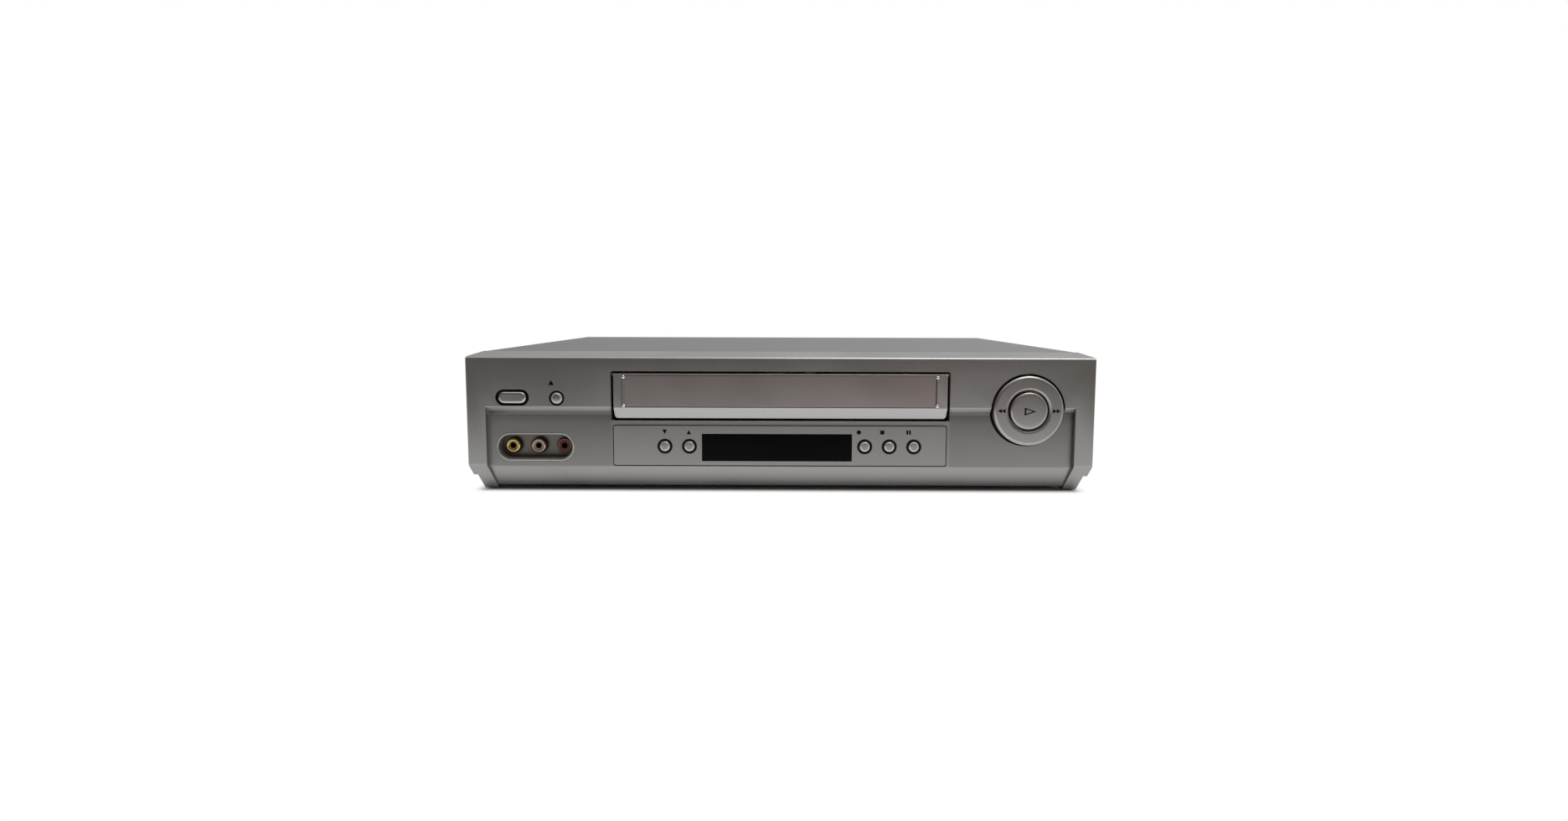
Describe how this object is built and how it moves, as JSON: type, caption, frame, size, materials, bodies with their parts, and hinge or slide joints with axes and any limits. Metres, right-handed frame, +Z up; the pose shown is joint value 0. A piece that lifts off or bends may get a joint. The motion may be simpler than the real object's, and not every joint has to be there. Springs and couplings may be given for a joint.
{
  "type": "video cassette recorder",
  "caption": "Free-standing silver-grey video cassette recorder with a sprung cassette flap, front buttons, display, input jacks and a full tape mechanism inside.",
  "frame": {"origin": "middle of the object's footprint, on the surface it stands on", "axes": "+X to the right seen from the front, +Y to the back, +Z up"},
  "size_m": [0.36, 0.2782, 0.0821],
  "materials": {
    "cover_paint": "silver-grey paint, satin",
    "bezel_plastic": "silver-grey paint on moulded plastic, satin",
    "button_plastic": "silver-grey painted plastic, satin",
    "door_facing": "clear plate over silver print, glossy",
    "window_black": "polished black",
    "black_plastic": "moulded black",
    "yellow_plastic": "moulded yellow",
    "white_plastic": "moulded white",
    "red_plastic": "moulded red",
    "rubber": "matt black",
    "steel": "bright steel",
    "zinc_plate": "zinc-plated sheet steel",
    "drum_aluminium": "turned aluminium",
    "capacitor_can": "sleeved can",
    "circuit_board": "phenolic board",
    "transformer_iron": "varnished laminations",
    "gear_plastic": "natural moulded plastic"
  },
  "bodies": {
    "case": {"top_cover": "cover_paint", "front_bezel": "bezel_plastic", "control_panel": "bezel_plastic", "display_window": "window_black", "display_module": "window_black", "front_jack_housing": "black_plastic", "scart_socket_1": "black_plastic", "scart_socket_2": "black_plastic", "audio_output_jacks": "black_plastic", "ac_inlet": "black_plastic", "video_in_jack": "yellow_plastic", "audio_left_in_jack": "white_plastic", "audio_right_in_jack": "red_plastic", "rear_foot_left": "rubber", "rear_foot_right": "rubber", "door_spring": "steel", "cover_screw_left": "steel", "cover_screw_right": "steel", "tuner_module": "steel", "full_erase_head": "steel", "audio_control_head": "steel", "loading_motor": "steel", "base_frame": "zinc_plate", "rear_panel": "zinc_plate", "deck_chassis": "zinc_plate", "left_bracket": "zinc_plate", "right_bracket": "zinc_plate", "capstan_motor": "zinc_plate", "lower_drum": "drum_aluminium", "filter_capacitor": "capacitor_can", "front_circuit_board": "circuit_board", "main_circuit_board": "circuit_board", "power_transformer": "transformer_iron"},
    "door": {"cassette_door": "bezel_plastic", "door_facing": "door_facing"},
    "power_button": {"power_button": "button_plastic"},
    "eject_button": {"eject_button": "button_plastic"},
    "program_down_button": {"program_down_button": "button_plastic"},
    "program_up_button": {"program_up_button": "button_plastic"},
    "record_button": {"record_button": "button_plastic"},
    "stop_button": {"stop_button": "button_plastic"},
    "pause_button": {"pause_button": "button_plastic"},
    "seek_ring": {"seek_ring": "button_plastic"},
    "play_button": {"play_button": "button_plastic"},
    "carriage_slider": {"carriage_slider": "zinc_plate"},
    "carriage": {"cassette_carriage": "zinc_plate"},
    "upper_drum": {"upper_drum": "drum_aluminium"},
    "capstan": {"capstan_flywheel": "steel"},
    "pinch_arm": {"pinch_arm": "zinc_plate"},
    "pinch_roller": {"pinch_roller": "rubber"},
    "supply_reel": {"supply_reel_table": "gear_plastic"},
    "take_up_reel": {"take_up_reel_table": "gear_plastic"},
    "idler_arm": {"idler_arm": "zinc_plate"},
    "idler_gear": {"idler_gear": "gear_plastic"},
    "cam_gear": {"cam_gear": "gear_plastic"},
    "loading_worm": {"loading_worm": "gear_plastic"},
    "tension_arm": {"tension_arm": "zinc_plate"},
    "supply_guide": {"supply_guide_sled": "gear_plastic"},
    "take_up_guide": {"take_up_guide_sled": "gear_plastic"}
  },
  "joints": [
    {"name": "power_button_press", "type": "slide", "parent": "case", "child": "power_button", "axis": [0, 1, 0], "range_m": [0, 0.0008], "stiffness_N_per_m": 300},
    {"name": "eject_button_press", "type": "slide", "parent": "case", "child": "eject_button", "axis": [0, 1, 0], "range_m": [0, 0.0008], "stiffness_N_per_m": 300},
    {"name": "program_down_button_press", "type": "slide", "parent": "case", "child": "program_down_button", "axis": [0, 1, 0], "range_m": [0, 0.0008], "stiffness_N_per_m": 300},
    {"name": "program_up_button_press", "type": "slide", "parent": "case", "child": "program_up_button", "axis": [0, 1, 0], "range_m": [0, 0.0008], "stiffness_N_per_m": 300},
    {"name": "record_button_press", "type": "slide", "parent": "case", "child": "record_button", "axis": [0, 1, 0], "range_m": [0, 0.0008], "stiffness_N_per_m": 300},
    {"name": "stop_button_press", "type": "slide", "parent": "case", "child": "stop_button", "axis": [0, 1, 0], "range_m": [0, 0.0008], "stiffness_N_per_m": 300},
    {"name": "pause_button_press", "type": "slide", "parent": "case", "child": "pause_button", "axis": [0, 1, 0], "range_m": [0, 0.0008], "stiffness_N_per_m": 300},
    {"name": "play_button_press", "type": "slide", "parent": "case", "child": "play_button", "axis": [0, 1, 0], "range_m": [0, 0.0008], "stiffness_N_per_m": 300},
    {"name": "seek_ring_rock", "type": "hinge", "parent": "case", "child": "seek_ring", "pos_m": [0.1421, -0.12885, 0.0499], "axis": [0, 0, 1], "range_deg": [-2.5, 2.5], "stiffness_Nm_per_rad": 0.3},
    {"name": "door_swing", "type": "hinge", "parent": "case", "child": "door", "pos_m": [0, -0.13485, 0.0702], "axis": [1, 0, 0], "range_deg": [0, 88], "stiffness_Nm_per_rad": 0.02, "springref_deg": -17.19},
    {"name": "carriage_slide", "type": "slide", "parent": "case", "child": "carriage_slider", "axis": [0, 1, 0], "range_m": [-0.084, 0]},
    {"name": "carriage_drop", "type": "slide", "parent": "carriage_slider", "child": "carriage", "axis": [0, 0, -1], "range_m": [0, 0.019]},
    {"name": "drum_spin", "type": "hinge", "parent": "case", "child": "upper_drum", "pos_m": [0, 0.05535, 0.0237], "axis": [-0.1045, 0, 0.9945], "continuous": true},
    {"name": "capstan_spin", "type": "hinge", "parent": "case", "child": "capstan", "pos_m": [0.06, 0.03335, 0.03], "axis": [0, 0, 1], "continuous": true},
    {"name": "pinch_swing", "type": "hinge", "parent": "case", "child": "pinch_arm", "pos_m": [0.09, 0.04335, 0.04], "axis": [0, 0, -1], "range_deg": [0, 36.1]},
    {"name": "pinch_roller_spin", "type": "hinge", "parent": "pinch_arm", "child": "pinch_roller", "pos_m": [0.07673, 0.02479, 0.036], "axis": [0, 0, 1], "continuous": true},
    {"name": "supply_reel_spin", "type": "hinge", "parent": "case", "child": "supply_reel", "pos_m": [-0.04675, -0.04065, 0.03], "axis": [0, 0, 1], "continuous": true},
    {"name": "take_up_reel_spin", "type": "hinge", "parent": "case", "child": "take_up_reel", "pos_m": [0.04675, -0.04065, 0.03], "axis": [0, 0, 1], "continuous": true},
    {"name": "idler_swing", "type": "hinge", "parent": "case", "child": "idler_arm", "pos_m": [0, -0.07865, 0.024], "axis": [0, 0, 1], "range_deg": [-8, 8]},
    {"name": "idler_gear_spin", "type": "hinge", "parent": "idler_arm", "child": "idler_gear", "pos_m": [0, -0.04865, 0.0255], "axis": [0, 0, 1], "continuous": true},
    {"name": "cam_turn", "type": "hinge", "parent": "case", "child": "cam_gear", "pos_m": [0.076, 0.07335, 0.03], "axis": [0, 0, 1], "range_deg": [0, 270]},
    {"name": "worm_spin", "type": "hinge", "parent": "case", "child": "loading_worm", "pos_m": [0.076, 0.09315, 0.0337], "axis": [1, 0, 0], "continuous": true},
    {"name": "tension_swing", "type": "hinge", "parent": "case", "child": "tension_arm", "pos_m": [-0.084, 0.04135, 0.028], "axis": [0, 0, 1], "range_deg": [0, 15], "stiffness_Nm_per_rad": 0.02},
    {"name": "supply_guide_slide", "type": "slide", "parent": "case", "child": "supply_guide", "axis": [0, 1, 0], "range_m": [0, 0.0361]},
    {"name": "take_up_guide_slide", "type": "slide", "parent": "case", "child": "take_up_guide", "axis": [0, 1, 0], "range_m": [0, 0.0361]}
  ],
  "couplings": [
    {"joint": "worm_spin", "follows": "cam_turn", "ratio": 24},
    {"joint": "pinch_swing", "follows": "cam_turn", "ratio": 0.13333},
    {"joint": "supply_guide_slide", "follows": "cam_turn", "m_per_rad": 0.0076394},
    {"joint": "take_up_guide_slide", "follows": "cam_turn", "m_per_rad": 0.0076394}
  ]
}
